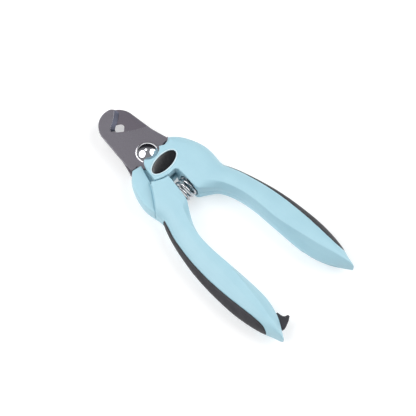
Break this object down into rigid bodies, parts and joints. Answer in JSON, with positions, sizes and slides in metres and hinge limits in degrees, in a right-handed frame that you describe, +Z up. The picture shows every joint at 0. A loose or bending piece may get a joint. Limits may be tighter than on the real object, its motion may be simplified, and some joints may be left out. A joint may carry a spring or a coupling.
{
  "type": "scissor nail clipper",
  "caption": "Scissor-type pet nail clipper: hooked blades crossing on a domed pivot, coil spring, two-shell handles with soft grips and a swinging latch.",
  "frame": {"origin": "on the pivot's axis, at the flat face of the pivot nut, in the plane that the clipper lies on", "axes": "+Y towards the blade tips, +X towards the right handle seen from above, +Z up out of the domed bolt"},
  "size_m": [0.0688, 0.1569, 0.016],
  "materials": {
    "blue_shell": "pale blue satin moulded plastic",
    "soft_grip": "dark grey soft-touch moulding",
    "blade_steel": "dark brushed steel, ground bright at the notch",
    "chrome": "polished",
    "spring_steel": "bright spring wire",
    "pin_steel": "plain ground pin",
    "latch_plastic": "dark moulded plastic",
    "badge_face": "glossy black, plain"
  },
  "bodies": {
    "left_half": {"left_handle_shell": "blue_shell", "left_handle_cover": "blue_shell", "left_grip": "soft_grip", "lower_blade": "blade_steel", "lower_badge": "badge_face", "pivot_bolt": "chrome", "pivot_nut": "chrome", "pivot_sleeve": "pin_steel", "upper_washer": "chrome", "lower_washer": "chrome", "latch_pin": "pin_steel", "left_tang_pin_front": "pin_steel", "left_tang_pin_back": "pin_steel", "spring": "spring_steel"},
    "right_half": {"right_handle_shell": "blue_shell", "right_handle_cover": "blue_shell", "right_grip": "soft_grip", "upper_blade": "blade_steel", "badge": "badge_face", "catch_pin": "pin_steel", "right_tang_pin_front": "pin_steel", "right_tang_pin_back": "pin_steel"},
    "latch": {"latch": "latch_plastic"}
  },
  "joints": [
    {"name": "main_pivot", "type": "hinge", "parent": "left_half", "child": "right_half", "pos_m": [0, 0, 0.008], "axis": [0, 0, -1], "range_deg": [0, 12.5], "stiffness_Nm_per_rad": 1.2, "springref_deg": -6.88, "deforming": ["spring"]},
    {"name": "latch_pivot", "type": "hinge", "parent": "left_half", "child": "latch", "pos_m": [-0.0248, -0.1162, 0.008], "axis": [0, 0, -1], "range_deg": [0, 72.5]}
  ]
}
